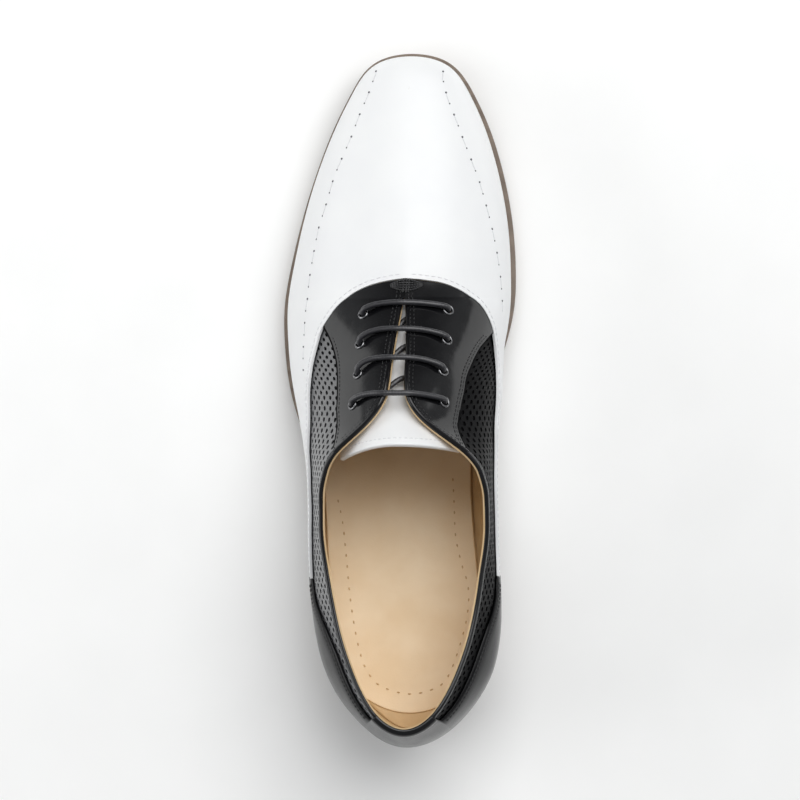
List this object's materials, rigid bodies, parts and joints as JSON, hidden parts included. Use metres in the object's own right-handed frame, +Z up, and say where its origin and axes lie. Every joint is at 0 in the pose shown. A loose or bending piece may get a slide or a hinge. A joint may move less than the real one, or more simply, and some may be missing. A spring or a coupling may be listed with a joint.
{
  "type": "oxford shoe",
  "caption": "Left two-tone laced oxford shoe with a hollow leather upper, long vamp, closed facings, heel counter, leather sole and stacked heel; a foot goes in at the collar.",
  "frame": {"origin": "centre of the bounding box's bottom face, on the floor that the shoe stands on", "axes": "+Y towards the toe, +X towards the inner (medial) side of the foot, +Z up"},
  "size_m": [0.101, 0.2984, 0.103],
  "materials": {
    "sole_leather": "satin",
    "heel_stack": "satin",
    "tan_lining": "matte",
    "black_calf": "gloss",
    "white_calf": "satin",
    "waxed_cord": "satin",
    "eyelet_metal": "polished"
  },
  "bodies": {
    "root": {"outsole": "sole_leather", "heel": "heel_stack", "insole": "tan_lining", "upper": "black_calf", "tongue": "white_calf", "vamp": "white_calf", "facing_lateral": "black_calf", "facing_medial": "black_calf", "heel_counter": "black_calf", "collar_binding_lateral": "black_calf", "collar_binding_medial": "black_calf", "lace": "waxed_cord", "eyelet_lateral_1": "eyelet_metal", "eyelet_lateral_2": "eyelet_metal", "eyelet_lateral_3": "eyelet_metal", "eyelet_lateral_4": "eyelet_metal", "eyelet_medial_1": "eyelet_metal", "eyelet_medial_2": "eyelet_metal", "eyelet_medial_3": "eyelet_metal", "eyelet_medial_4": "eyelet_metal"}
  },
  "joints": []
}
